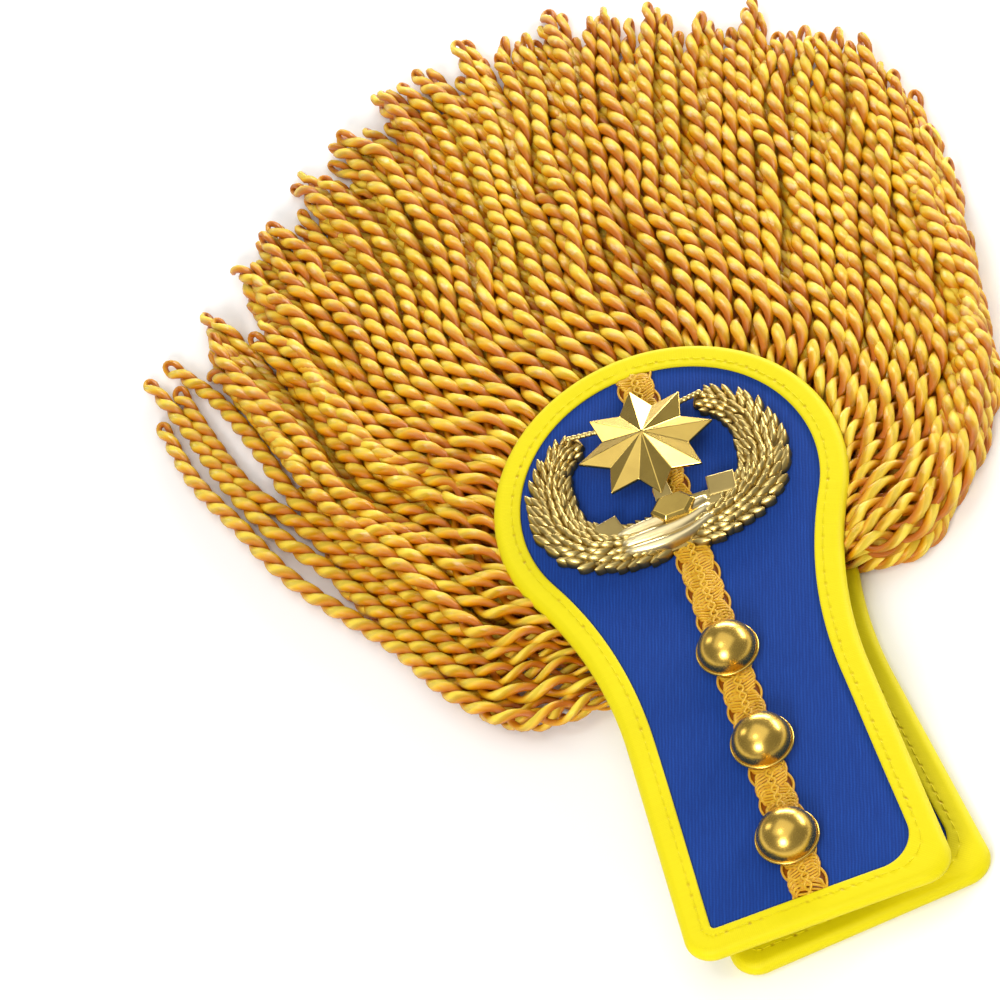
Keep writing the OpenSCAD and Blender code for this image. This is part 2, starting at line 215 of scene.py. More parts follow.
class Wire:
    """An output of a shader node. Sums with it make Math nodes in its tree."""

    def __init__(self, socket):
        self.socket = socket
        self.tree = socket.id_data

    def math(self, operation, *others, clamp=False):
        feed = dict(enumerate((self, *others)))
        return shade(self.tree, "ShaderNodeMath", feed, operation=operation, use_clamp=clamp)[0]

    def share(self, factor, offset):
        """The value times a factor, plus an offset, kept between 0 and 1."""
        return self.math("MULTIPLY_ADD", factor, offset, clamp=True)

    __add__ = partialmethod(math, "ADD")
    __sub__ = partialmethod(math, "SUBTRACT")
    __mul__ = partialmethod(math, "MULTIPLY")
    __truediv__ = partialmethod(math, "DIVIDE")


def fill(node, values):
    """Puts a value or a link on a node's inputs, by name or number."""
    for key, value in values.items():
        if isinstance(value, Wire):
            node.id_data.links.new(value.socket, node.inputs[key])
        else:
            node.inputs[key].default_value = value


def shade(tree, kind, feed=None, **settings):
    """The outputs of a new shader node, by name and number."""
    made = tree.nodes.new(kind)
    for key, value in settings.items():
        setattr(made, key, value)
    fill(made, feed or {})
    return {key: Wire(socket) for number, socket in enumerate(made.outputs) for key in (number, socket.name)}


def noise(place, scale, detail):
    """A noise texture's value at a place."""
    return shade(place.tree, "ShaderNodeTexNoise", {"Vector": place, "Scale": scale, "Detail": detail})[0]


def blend_of(share, first, second):
    """A colour between two colours."""
    return shade(share.tree, "ShaderNodeMix", {0: share, 6: first, 7: second}, data_type="RGBA")[2]


def sunk(height, depth, strength, **under):
    """The normal of a bump, whose depth is in metres, over another bump's Normal."""
    feed = {"Height": height, "Distance": depth, "Strength": strength, **under}
    return shade(height.tree, "ShaderNodeBump", feed)[0]


def rgb(red, green, blue):
    """A colour in the shader's own scale, from the 0 to 255 of a colour chart."""
    share = np.array([red, green, blue]) / 255
    linear = np.where(share <= 0.04045, share / 12.92, ((share + 0.055) / 1.055) ** 2.4)
    return (*linear.tolist(), 1.0)


def effect(name, inputs, outputs):
    """An empty shader node group, with its inputs by name, each with a value, and its output node."""
    group = bpy.data.node_groups.new(name, "ShaderNodeTree")
    for label, value in inputs.items():
        kind = {float: "NodeSocketFloat", tuple: "NodeSocketVector"}[type(value)]
        group.interface.new_socket(label, in_out="INPUT", socket_type=kind).default_value = value
    for label in outputs:
        group.interface.new_socket(label, in_out="OUTPUT", socket_type="NodeSocketFloat")
    return group, shade(group, "NodeGroupInput"), group.nodes.new("NodeGroupOutput")


def fresh_finish(name):
    """A material with its Principled shader alone."""
    finish = bpy.data.materials.new(name)
    finish.use_nodes = True
    return finish, finish.node_tree, finish.node_tree.nodes["Principled BSDF"]


# Woven threads, on any cloth with a UV map in millimetres: ribs in one direction that come and go in
# streaks, finer threads across them, and a slow unevenness. Ribs is the height of the weave, and
# Uneven a slow mask.
weave, given, out = effect("Woven threads", {"Place": (0.0, 0.0, 0.0), "Heading": 0.0,
                                              "Rib": 0.75, "Thread": 0.4}, ["Ribs", "Uneven"])
turned = shade(weave, "ShaderNodeVectorRotate", {"Vector": given["Place"], "Angle": given["Heading"]},
               rotation_type="Z_AXIS")[0]
drawn = shade(weave, "ShaderNodeVectorMath", {0: turned, 1: (1.6, 0.16, 1.0)}, operation="MULTIPLY")[0]
wobble, streak, fine = noise(turned, 0.22, 2.0), noise(drawn, 1.0, 3.0), noise(turned, 2.2, 3.0)
lane = shade(weave, "ShaderNodeSeparateXYZ", {0: turned})
rib_wave = ((lane[0] + wobble * 0.5) * CIRCLE / given["Rib"]).math("SINE")
thread_wave = (lane[1] * CIRCLE / given["Thread"]).math("SINE")
woven = rib_wave * streak.math("MULTIPLY_ADD", 0.9, -0.2) + thread_wave * 0.07
fill(out, {"Ribs": woven + (streak * 0.7 + fine * 0.35), "Uneven": wobble})

blue_cloth, tree, skin = fresh_finish("blue ribbed cloth")
threads = shade(tree, "ShaderNodeGroup", {"Place": shade(tree, "ShaderNodeUVMap")[0], "Rib": 0.72,
                                          "Heading": math.radians(16), "Thread": 0.42}, node_tree=weave)
# The colour follows the ribs' height: real streaks of tone, and the rib crests painted lighter than the
# valleys, as painted shade.
ribbed = blend_of(threads["Ribs"].share(0.95, -0.02), rgb(8, 40, 110), rgb(22, 68, 154))
fill(skin, {"Base Color": blend_of(threads["Uneven"].share(0.7, -0.2), ribbed, rgb(15, 58, 136)),
            "Normal": sunk(threads["Ribs"], 0.00010, 0.5), "Roughness": 0.85,
            "Specular IOR Level": 0.2, "Sheen Weight": 0.04, "Sheen Roughness": 0.5})


def covered_board(name, turn):
    """A board in its cloth: rows run across between the outline's right and left halves, over the
    top and back under it. Both faces drop towards the tape and ripple a little."""
    low, high = corners(name)
    right = half_outline(CLOTH_INSET, EASED_R)
    left = half_outline(CLOTH_INSET, MITRE_R) * [-1, 1]
    share = (1 - np.cos(np.linspace(0, np.pi, 32)))[None, :, None] / 2
    plan = right[:, None] * (1 - share) + left[:, None] * share
    width = np.linalg.norm(right - left, axis=1)[:, None]
    to_side = np.minimum(share[..., 0], 1 - share[..., 0]) * width
    to_end = plan[..., 1] + STRAP_REACH - CLOTH_INSET
    to_round = np.where(plan[..., 1] > 0, ROUND_R - CLOTH_INSET - np.linalg.norm(plan, axis=-1), 99)
    to_edge = np.maximum(np.minimum(np.minimum(to_side, to_end), to_round), 0)
    drop = CLOTH_SWELL * np.exp(-to_edge / 1.1) + 0.05 * (1 - ripple(plan[..., 0], plan[..., 1], 22, 3))
    top = laid(plan, high[2] - drop, turn)
    under = laid(plan, low[2] + drop, turn)
    loop = np.concatenate([top, under[:, ::-1]], axis=1)
    uv = np.concatenate([plan, plan[:, ::-1]], axis=1)
    sew(name + "_cloth", [tubes(loop[None], uv[None])], blue_cloth, "blue_cloth", name)


covered_board("under_board", FLAP_TURN)

# The under board's binding: bright yellow bias tape, folded over the edge with a lip on each face
# and run round by machine. The stitches sit in a shallow channel and pucker the tape. The inner
# corner is mitred at -X and eased round at +X.
LIP_FOLD = 0.45
EDGE_ROLL = 1.9
SEAM_INSET = 4.4
STITCH, THREAD_R = 3.0, 0.12
STITCH_GAP, HOLE_LONG, HOLE_WIDE = 0.5, 0.62, 0.4

yellow_tape, tree, skin = fresh_finish("yellow bias tape")
place = shade(tree, "ShaderNodeUVMap")[0]
threads = shade(tree, "ShaderNodeGroup", {"Place": place, "Rib": 0.42, "Thread": 0.38}, node_tree=weave)
# The colour follows the ribs' height: real streaks of tone, and the rib crests painted lighter than the
# valleys, as painted shade.
rib_shaded_yellow = blend_of(threads["Ribs"].share(0.6, 0.2), rgb(214, 199, 0), rgb(230, 216, 1))
lane = shade(tree, "ShaderNodeSeparateXYZ", {0: place})
along = (lane[0].math("MODULO", STITCH) - STITCH / 2) / HOLE_LONG
aside = (lane[1].math("ABSOLUTE") - SEAM_INSET) / HOLE_WIDE
hole = (along * along + aside * aside).math("SQRT").share(-1.0, 1.3)
hole = hole * noise(place, 0.16, 2.0).share(3.2, -1.35)
# The needle holes are painted darker, as painted shade in their dents.
fill(skin, {"Base Color": blend_of(hole, rib_shaded_yellow, rgb(176, 136, 6)),
            "Normal": sunk(hole * -1.0, 0.0002, 0.8, Normal=sunk(threads["Ribs"], 0.00004, 0.4)),
            "Roughness": 0.55, "Specular IOR Level": 0.2, "Sheen Weight": 0.03})


def ring_outline(inset):
    """The whole outline at an inset, clockwise from the top: the right half, the square end and the
    left half. Between the tape's outside and its inner fold the corners ease to the cloth's own."""
    share = min(max(inset / TAPE_W, 0), 1)
    right = half_outline(inset, END_CORNER + (EASED_R - END_CORNER) * share)
    left = half_outline(inset, END_CORNER + (MITRE_R - END_CORNER) * share) * [-1, 1]
    end = right[-1] + (left[-1] - right[-1]) * np.linspace(0, 1, 82)[1:-1, None]
    return np.concatenate([right, end, left[::-1]])


def run_of(ways):
    """The distance along ways at each of their points."""
    step = np.linalg.norm(np.diff(ways, axis=-2), axis=-1)
    return np.concatenate([np.zeros((*step.shape[:-1], 1)), np.cumsum(step, -1)], -1)


def places(at, run, way):
    """Places in plan at distances along a way."""
    return joined(np.interp(at, run, way[:, 0]), np.interp(at, run, way[:, 1]))


def tape_pucker(run, inset):
    """How far the tape dips: a channel along the seam, deeper at each needle hole, with slow ripples."""
    channel = np.exp(-((inset - SEAM_INSET) / 0.7) ** 2)
    needle = (0.5 + 0.5 * np.cos(CIRCLE * (run / STITCH - 0.5))) ** 2
    return channel * (0.01 + 0.06 * needle) + 0.05 * (1 + ripple(run, inset * 3, 14, 7))


def bound_edge(node, turn):
    """Tape round a board: its cross-section is a roll over the edge, two flat lips and their folds,
    carried round the outline. The inner fold wanders a little, as hand-guided tape does."""
    low, high = corners(node)
    half = (high[2] - low[2]) / 2
    roll = np.radians(np.linspace(0, 90, 7))
    fold = np.radians(np.linspace(90, -90, 6))
    inset = np.concatenate([EDGE_ROLL * (1 - np.cos(roll)), np.linspace(EDGE_ROLL + 0.4, SEAM_INSET + 1, 8),
                            TAPE_W - LIP_FOLD + LIP_FOLD * np.cos(fold), [1.1]])
    height = np.concatenate([half * np.sin(roll), np.full(8, half),
                             half - LIP_FOLD * (1 - np.sin(fold)), [half - 1]])
    face = np.concatenate([np.linspace(0, 1, 7), np.ones(8), np.linspace(1, 0, 6), [0]])
    side = np.concatenate([np.ones(len(inset)), -np.ones(len(inset) - 1)])
    inset, height, face = (np.concatenate([a, a[:0:-1]]) for a in (inset, height, face))
    run = run_of(ring_outline(0))
    wander = 0.12 * ripple(run, 0 * run, 30, 11)
    plan = np.stack([ring_outline(i) for i in inset], axis=1)
    towards = np.stack([ring_outline(i + 0.5) for i in inset], axis=1) - plan
    plan = plan + towards * 2 * (wander[:, None] * inset / TAPE_W)[..., None]
    dip = tape_pucker(run[:, None], inset[None]) * face
    rings = laid(plan, (low[2] + high[2]) / 2 + side * (height - dip), turn)
    uv = joined(run[:, None], side * inset)
    closed = np.concatenate([rings, rings[:1]])
    part = tubes(closed[None], np.concatenate([uv, uv[:1] + [run[-1] + 1.1, 0]])[None])
    part["tris"] = part["tris"][:0]
    return part


def seam(node, turn):
    """Stitches along the tape on both faces: short threads that rise out of one needle hole and go
    down into the next, bent like a bow, and pressed flat where the board lies on the floor."""
    low, high = corners(node)
    way = ring_outline(SEAM_INSET)
    run = run_of(ring_outline(0))
    first = np.arange((STITCH + STITCH_GAP) / 2, run[-1] - STITCH, STITCH)
    share = np.linspace(0, 1, 6)
    spots = first[:, None] + share * (STITCH - STITCH_GAP)
    plan = places(spots, run, way)
    bow = -0.20 + 0.18 * np.sin(np.pi * share) ** 0.7
    parts = []
    for face, level in ((1, high[2]), (-1, low[2])):
        centre = laid(plan, level + face * bow, turn)
        rings = thick(centre, THREAD_R, 5)
        rings[..., 2] = np.maximum(rings[..., 2], 0.02)
        parts.append(tubes(rings, thick_uv(centre, THREAD_R, 5)))
    return parts


def unit(vectors):
    """Vectors of length one."""
    return vectors / np.maximum(np.linalg.norm(vectors, axis=-1, keepdims=True), 1e-9)


def full_turn(steps):
    """Angles at even steps round a circle."""
    return np.linspace(0, CIRCLE, steps, endpoint=False)


def thick(centre, radius, sides, facing=(0.0, 0.0, 1.0), flat=1.0):
    """Rings round ways, as (way, ring, side, xyz): circles across each way's own direction, the first
    point towards facing. flat widens a ring sideways."""
    along = unit(np.gradient(centre, axis=1))
    facing = np.broadcast_to(facing, centre.shape)
    up = unit(facing - along * (facing * along).sum(-1, keepdims=True))
    across = np.cross(along, up)
    turn = full_turn(sides)[:, None]
    radius = np.broadcast_to(radius, centre.shape[:2])[..., None, None]
    spoke = np.cos(turn) * up[:, :, None] + flat * np.sin(turn) * across[:, :, None]
    return centre[:, :, None] + radius * spoke


def thick_uv(centre, radius, sides):
    """The distance round and along each tube of thick(), in millimetres."""
    return joined(full_turn(sides) * radius, run_of(centre)[..., None])


def cord(centre, radius, sides, **marks):
    """Plain round cords along ways."""
    return tubes(thick(centre, radius, sides), thick_uv(centre, radius, sides), **marks)


def taped(node, turn):
    """A board's tape with its stitches."""
    sew(node + "_tape", [bound_edge(node, turn)] + seam(node, turn), yellow_tape, "yellow_tape", node)


taped("under_binding", FLAP_TURN)

# The fringe's head: a thick woven band of the same gold yarn, stitched between the two boards round
# the shoulder end. The bullions hang from its outer edge.
LEFT_START, RIGHT_START = 44.0, 31.0
HEAD_IN, HEAD_OUT = 11.0, 1.2
HEAD_RIB, HEAD_GAP = 2.4, 0.15

left_dir, right_dir = (math.degrees(math.asin((WAIST_BACK - start) / NECK_R))
                       for start in (LEFT_START, RIGHT_START))
left_run, right_run = (NECK_R * math.radians(NECK_DIR - start_dir) for start_dir in (left_dir, right_dir))
round_run = ROUND_R * math.radians(180 + 2 * NECK_DIR)
root_run = left_run + round_run + right_run


def root(share, inset):
    """Where the fringe leaves the outline, at a share of its root from -X to +X: along the left
    neck's arc, the round end's arc and the right neck's arc."""
    run = share * root_run
    on_left, on_round = run < left_run, run < left_run + round_run
    out = heading(np.where(on_left, 180 + left_dir + (NECK_DIR - left_dir) * run / left_run,
                  np.where(on_round, 180 + NECK_DIR - np.degrees((run - left_run) / ROUND_R),
                           -NECK_DIR + (NECK_DIR - right_dir) * (run - left_run - round_run) / right_run)))
    inset = np.asarray(inset)[..., None]
    neck = joined(np.where(on_left, -NECK_X, NECK_X), -WAIST_BACK) - (NECK_R + inset) * out
    return np.where((on_left | ~on_round)[..., None], neck, (ROUND_R - inset) * out)


# Twisted yarn, on any cord with a UV map in millimetres: fine filaments that run round and along
# the cord. Filaments is their height, and Glint a mask of the lighter ones.
yarn, given, out = effect("Twisted yarn", {"Place": (0.0, 0.0, 0.0), "Slant": 0.6, "Filament": 0.3},
                          ["Filaments", "Glint"])
lane = shade(yarn, "ShaderNodeSeparateXYZ", {0: given["Place"]})
strand = ((lane[0] + lane[1] * given["Slant"]) * CIRCLE / given["Filament"]).math("SINE")
fuzz = noise(given["Place"], 1.7, 3.0)
fill(out, {"Filaments": strand * 0.35 + fuzz, "Glint": (strand * fuzz).share(0.5, 0.5)})


def yarn_finish(name, dark, middle, light, rough, slant):
    """Lustrous gold yarn, a little different from cord to cord. The crown mark paints its light and
    shade: painted shade in the lay between the plies, lighter on their crowns, and a painted
    highlight, palest, on one side of them."""
    finish, tree, skin = fresh_finish(name)
    threads = shade(tree, "ShaderNodeGroup", {"Place": shade(tree, "ShaderNodeUVMap")[0], "Slant": slant},
                    node_tree=yarn)
    # The crown mark is painted light: low values are painted shade, high ones a painted highlight.
    crown, tone = (shade(tree, "ShaderNodeAttribute", attribute_name=mark)["Fac"]
                   for mark in ("crown", "tone"))
    lifted = crown + threads["Glint"].math("MULTIPLY_ADD", 0.16, -0.08)
    stops = tree.nodes.new("ShaderNodeValToRGB")
    fill(stops, {0: tone.share(0.18, lifted - 0.09)})
    ramp = stops.color_ramp.elements
    ramp[0].position, ramp[0].color, ramp[1].color = 0.12, dark, light
    ramp.new(0.55).color = middle
    fill(skin, {"Base Color": Wire(stops.outputs[0]), "Normal": sunk(threads["Filaments"], 0.00009, 0.7),
                "Roughness": rough, "Specular IOR Level": 0.5})
    return finish


gold_bullion = yarn_finish("gold bullion yarn", rgb(190, 102, 0), rgb(222, 156, 2), rgb(252, 222, 70),
                           0.24, 0.7)

share = np.linspace(0, 1, 420)
low, high = corners("under_binding")[1][2] + HEAD_GAP, corners("top_binding")[0][2] - HEAD_GAP
turn = full_turn(20)
bulge, rise = (np.sign(wave) * np.abs(wave) ** 0.35 for wave in (np.cos(turn), np.sin(turn)))
ribbing = 1 - 0.05 * np.cos(share * root_run * CIRCLE / HEAD_RIB)[:, None] ** 2
inset = (HEAD_IN + HEAD_OUT) / 2 - (HEAD_IN - HEAD_OUT) / 2 * bulge[None] * ribbing
plan = root(np.broadcast_to(share[:, None], inset.shape), inset)
head = laid(plan, (low + high) / 2 + (high - low) / 2 * rise[None] * ribbing)
head_uv = joined(np.linspace(0, 30, 20), share[:, None] * root_run)
# Its crown mark is painted shade, lower in the grooves between the head's ribs.
sew("fringe_head", [tubes(head[None], head_uv[None], crown=0.35 + 0.3 * (ribbing - 0.95) / 0.05, tone=0.4)],
    gold_bullion, "gold_bullion", "fringe")

# The bullions: about a hundred and fifty two-ply cords of lustrous gold yarn, each folded back on
# itself at its tip, so that it ends in a small loop. They leave the head all round the shoulder
# end, lie over each other in two or three layers and sweep towards one side.
PLY_R, SIDES = 1.18, 7
# The side of each ply where its painted highlight lies.
HIGHLIGHT_SIDE = 48                      # degrees from the outermost line of a ply
LAY_ROOT, LAY_TIP = 17.0, 11.6      # one full turn of the two plies
GIRTH, NEAREST = 4.1, 18  # how close two cords lie, and to how many others a cord gives way
STATIONS = 50
RINGS = 120
LONE = 4                  # cords at -X that lie apart from the rest
BODY = 142                # all other cords from the edge of the body to +X
LONE_LEVELS = np.array([[0, 6.5], [0.05, 8.6], [0.12, 7.8], [0.3, 5.6], [0.5, 3.6], [1, 2.3]])
WALL = 85.2               # the furthest that a cord's way goes towards +X

# Routes of cords that end in the points of the fringe's ragged edge, from -X to +X. Columns: share of
# the root, and eight places across and along, from an eighth of the way out to the tip.
ROUTES = np.array([
    [0.004, -46, -42, -59, -28, -67, -11, -77, 5, -87, 21, -94, 38, -101, 56, -105, 75],
    [0.026, -49, -33, -60, -17, -69, 0, -77, 17, -87, 34, -94, 52, -99, 71, -105, 89],
    [0.049, -48, -28, -58, -13, -66, 3, -73, 18, -81, 34, -90, 49, -95, 66, -99, 83],
    [0.069, -48, -22, -57, -6, -66, 10, -73, 26, -81, 42, -85, 59, -90, 76, -99, 91],
    [0.088, -48, -19, -56, -4, -63, 10, -70, 24, -76, 39, -80, 55, -84, 70, -90, 85],
    [0.108, -45, -10, -54, 3, -62, 17, -70, 31, -76, 45, -81, 61, -84, 76, -87, 92],
    [0.150, -46, -1, -54, 13, -63, 26, -70, 41, -74, 56, -79, 72, -84, 87, -89, 102],
    [0.204, -46, 8, -51, 19, -58, 30, -62, 41, -66, 53, -69, 66, -72, 78, -75, 90],
    [0.275, -46, 24, -53, 36, -60, 47, -64, 60, -67, 73, -69, 87, -72, 100, -77, 113],
    [0.321, -43, 32, -49, 44, -55, 56, -58, 69, -59, 83, -61, 96, -64, 109, -69, 121],
    [0.361, -38, 40, -42, 53, -44, 66, -45, 79, -46, 93, -47, 106, -51, 119, -57, 131],
    [0.401, -32, 47, -34, 60, -35, 74, -34, 88, -35, 102, -36, 115, -39, 129, -46, 141],
    [0.444, -23, 52, -25, 66, -25, 80, -24, 94, -24, 108, -25, 122, -27, 136, -31, 149],
    [0.479, -15, 55, -17, 69, -17, 83, -16, 97, -15, 111, -15, 125, -17, 139, -21, 152],
    [0.508, -9, 56, -11, 70, -11, 84, -11, 98, -9, 112, -8, 126, -8, 140, -9, 154],
    [0.533, -3, 56, -5, 70, -5, 83, -4, 97, -3, 110, -1, 124, 0, 137, 1, 151],
    [0.561, 5, 57, 4, 71, 4, 85, 6, 98, 7, 112, 9, 126, 12, 140, 13, 154],
    [0.591, 12, 55, 12, 68, 12, 82, 14, 95, 15, 108, 18, 122, 21, 135, 24, 148],
    [0.620, 20, 52, 20, 65, 21, 78, 23, 91, 25, 105, 28, 117, 31, 130, 35, 143],
    [0.651, 27, 48, 29, 61, 31, 74, 33, 87, 36, 100, 39, 113, 42, 125, 46, 138],
    [0.697, 35, 42, 38, 55, 40, 68, 42, 81, 46, 94, 49, 107, 53, 120, 57, 133],
    [0.737, 42, 34, 45, 46, 47, 59, 50, 72, 53, 84, 56, 97, 60, 109, 65, 121],
    [0.778, 47, 26, 51, 39, 54, 52, 57, 66, 60, 79, 64, 92, 68, 105, 73, 118],
    [0.819, 50, 17, 55, 30, 59, 44, 62, 58, 66, 72, 70, 85, 74, 99, 77, 113],
    [0.856, 51, 8, 58, 20, 64, 33, 68, 47, 71, 60, 74, 74, 77, 88, 79, 102],
    [0.890, 53, -2, 62, 10, 68, 23, 72, 37, 75, 51, 77, 65, 80, 80, 82, 94],
    [0.922, 53, -11, 63, -1, 70, 11, 74, 25, 76, 40, 79, 54, 81, 69, 83, 83],
    [0.953, 50, -19, 62, -12, 69, 0, 73, 12, 76, 26, 79, 40, 81, 53, 83, 67],
    [0.977, 47, -24, 58, -18, 66, -9, 72, 1, 74, 13, 77, 25, 79, 37, 81, 49],
    [0.997, 44, -30, 53, -26, 61, -20, 67, -12, 71, -3, 75, 6, 77, 16, 78, 26]])
# Short cords under the neck's loose ones. Columns: place among the routes, drift, share of the length.
SHORT = np.array([
    [0.3, 0.0, 0.24], [0.55, 0.4, 0.50], [1.5, 0.4, 0.56],
    [2.5, 0.4, 0.60], [3.4, 0.3, 0.66], [3.6, 0.2, 0.42]])


def ease(x):
    """A smooth step from 0 to 1."""
    x = np.clip(x, 0, 1)
    return x * x * (3 - 2 * x)


def fine_way(ways, points):
    """The same ways at more points: cubic curves through their stations."""
    last = ways.shape[1] - 1
    at = np.linspace(0, last, points)
    first = np.minimum(at.astype(int), last - 1)
    t = (at - first)[:, None]
    padded = np.concatenate([2 * ways[:, :1] - ways[:, 1:2], ways, 2 * ways[:, -1:] - ways[:, -2:-1]], 1)
    before, here, there, beyond = (padded[:, first + k] for k in range(4))
    return (here + 0.5 * t * (there - before + t * (2 * before - 5 * here + 4 * there - beyond
                                                    + t * (3 * (here - there) + beyond - before))))


def cut_off(ways, lengths):
    """Ways cut off at their lengths, with their stations at even distances."""
    at = np.linspace(0, 1, STATIONS) * lengths[:, None]
    return np.stack([places(*one) for one in zip(at, run_of(ways), ways)])


rng = np.random.default_rng(21)
starts = root(ROUTES[:, 0], np.full(len(ROUTES), 1.6))
routes = fine_way(np.concatenate([starts[:, None], ROUTES[:, 1:].reshape(-1, 8, 2)], 1), STATIONS)
broad = np.linalg.norm(np.diff(routes, axis=0), axis=-1)[:, 12:40].mean(1)
reach_over = np.concatenate([[0], np.cumsum(broad[LONE:])])
spot = np.linspace(0, reach_over[-1], BODY) + rng.uniform(-0.3, 0.3, BODY)
index = np.interp(spot, reach_over, np.arange(LONE, len(ROUTES)))
# Columns: place among the routes, drift, share of the length, layer.
cords = np.concatenate([joined(np.arange(LONE), 0, 1, 1), joined(*SHORT.T, 2),
                        joined(index, 0, 1, np.arange(BODY) % 3)])
index, drift, length_share, layer = cords[np.argsort(cords[:, 0])].T
CORDS = len(index)
base = np.clip(np.floor(index).astype(int), 0, len(ROUTES) - 2)
share = index - base

# Towards the tips the cords draw together in points, and those between two points are the shorter.
station = np.linspace(0, 1, STATIONS)
drawn = ease(ease(share))[:, None] - share[:, None]
part = share[:, None] + drawn * 0.85 * ease((station - 0.62) / 0.38) * (length_share[:, None] == 1)
part = (part + drift[:, None] * ease(station / length_share[:, None]))[..., None]
plan = routes[base] * (1 - part) + routes[base + 1] * part
notch = 7.0 * (1 - np.abs(2 * share - 1)) ** 1.4
shorter = (notch + np.clip(rng.normal(0.4, 1.5, CORDS), -1.5, 5) + layer) * (index > LONE)
plan = cut_off(plan, (run_of(plan)[:, -1] - shorter) * length_share)

run = run_of(plan)
slope = unit(np.gradient(plan, axis=1))
sideways = joined(-slope[..., 1], slope[..., 0])
sway = sum(rng.normal(0, size, (CORDS, 1)) * np.sin(station * turns * np.pi + rng.uniform(0, 6.3, (CORDS, 1)))
           for turns, size in ((2, 0.8), (4, 0.7), (7, 0.45), (11, 0.25)))
bundle = 1.6 * ripple(index[:, None] * 8, run, 34, 8)
steady = np.interp(index, [LONE, LONE + 1.5], [0.15, 1.0])[:, None]
plan = plan + sideways * ((sway + bundle) * steady * ease(station * 4))[..., None]
plan[..., 0] = np.minimum(plan[..., 0], WALL)

squeeze = 0.62 + 0.38 * ease(run / 8) - 0.12 * ease((station - 0.75) / 0.25)
top = np.interp(run, [0, 2, 5, 12, 60, 140], [8.9, 11.2, 12.4, 13.0, 11.8, 9.0])
# Columns: distance from the root, and the heights of the upper, middle and lower cords.
LAYER_LEVELS = np.array([[0, 7.7, 6.3, 5.2], [2, 9.4, 6.9, 4.6], [6, 10.8, 7.2, 4.2],
                         [20, 10.2, 6.8, 3.8], [60, 8.6, 5.6, 2.8], [110, 6.6, 4.2, 2.2]])
level = np.stack([np.interp(run, LAYER_LEVELS[:, 0], LAYER_LEVELS[:, 1 + k]) for k in range(3)])
height = level[layer.astype(int), np.arange(CORDS)] + rng.uniform(-0.3, 0.3, (CORDS, 1)) * ease(run / 10)
from_edge = np.minimum(np.maximum(index - LONE, 0) * 6, CORDS - 1 - np.arange(CORDS))[:, None]
pile = 1 - (1 - np.minimum(from_edge / 9, 1)) * 0.4 * ease((run - 20) / 30)
lone_height = np.interp(station * length_share[:, None], LONE_LEVELS[:, 0], LONE_LEVELS[:, 1])
is_lone = (index < LONE)[:, None]
height = np.where(is_lone, lone_height - 3.4 * (length_share[:, None] < 1), height * pile)
height = np.clip(height, GIRTH / 2, top - GIRTH * squeeze / 2)
ways = np.concatenate([plan, height[..., None]], -1)


def settle(ways, squeeze, top, rounds):
    """Lets the cords find room. In each round every station is set against the same and the next
    stations of its nearest cords, and two that are closer than a cord's girth move apart by
    half of what they lack. A spring draws each home in plan, strongly at its root and at the outermost
    cords, and by the root also in height. The cords sink a little, the floor and their highest level
    hold them, and each is smoothed, as a stiff cord is."""
    home = ways.copy()
    last = len(ROUTES) - 1
    held = np.interp(index, [LONE, LONE + 0.4, LONE + 2, last - 2, last], [1, 0.8, 0, 0, 0.7])[:, None]
    by_root = np.exp(-run / 5)
    free = (1 - 0.85 * held)[..., None] * np.minimum(np.arange(STATIONS) / 2, 1)[:, None]
    pull = np.minimum(0.03 + 0.3 * held + 0.35 * by_root, 0.6)
    for _ in range(rounds):
        move = np.zeros_like(ways)
        for gap in range(1, NEAREST + 1):
            for shift in (-1, 0, 1):
                left = slice(max(shift, 0), STATIONS + min(shift, 0))
                right = slice(max(-shift, 0), STATIONS - max(shift, 0))
                apart = ways[gap:, left] - ways[:-gap, right]
                far = np.maximum(np.linalg.norm(apart, axis=-1, keepdims=True), 0.05)
                need = GIRTH * (squeeze[gap:, left] + squeeze[:-gap, right])[..., None] / 2
                push = np.maximum(need - far, 0) / far * apart * 0.25
                move[gap:, left] += push
                move[:-gap, right] -= push
        move[..., :2] *= free
        move[..., :2] += pull[..., None] * (home - ways)[..., :2]
        move[..., 2] += (0.35 * by_root + 0.15 * is_lone) * (home[..., 2] - ways[..., 2])
        move[..., 2] -= 0.045 * (1 - by_root)
        move[:, 0] = 0
        ways = ways + move
        stiff = 0.12 * (1 - 0.8 * by_root[:, 1:-1, None])
        ways[:, 1:-1] += stiff * (ways[:, 2:] + ways[:, :-2] - 2 * ways[:, 1:-1])
        ways[..., 0] = np.minimum(ways[..., 0], WALL)
        ways[..., 2] = np.clip(ways[..., 2], GIRTH / 2 * squeeze + 0.1, top - GIRTH * squeeze / 2)
    return ways


ways = settle(ways, squeeze, top, rounds=150)


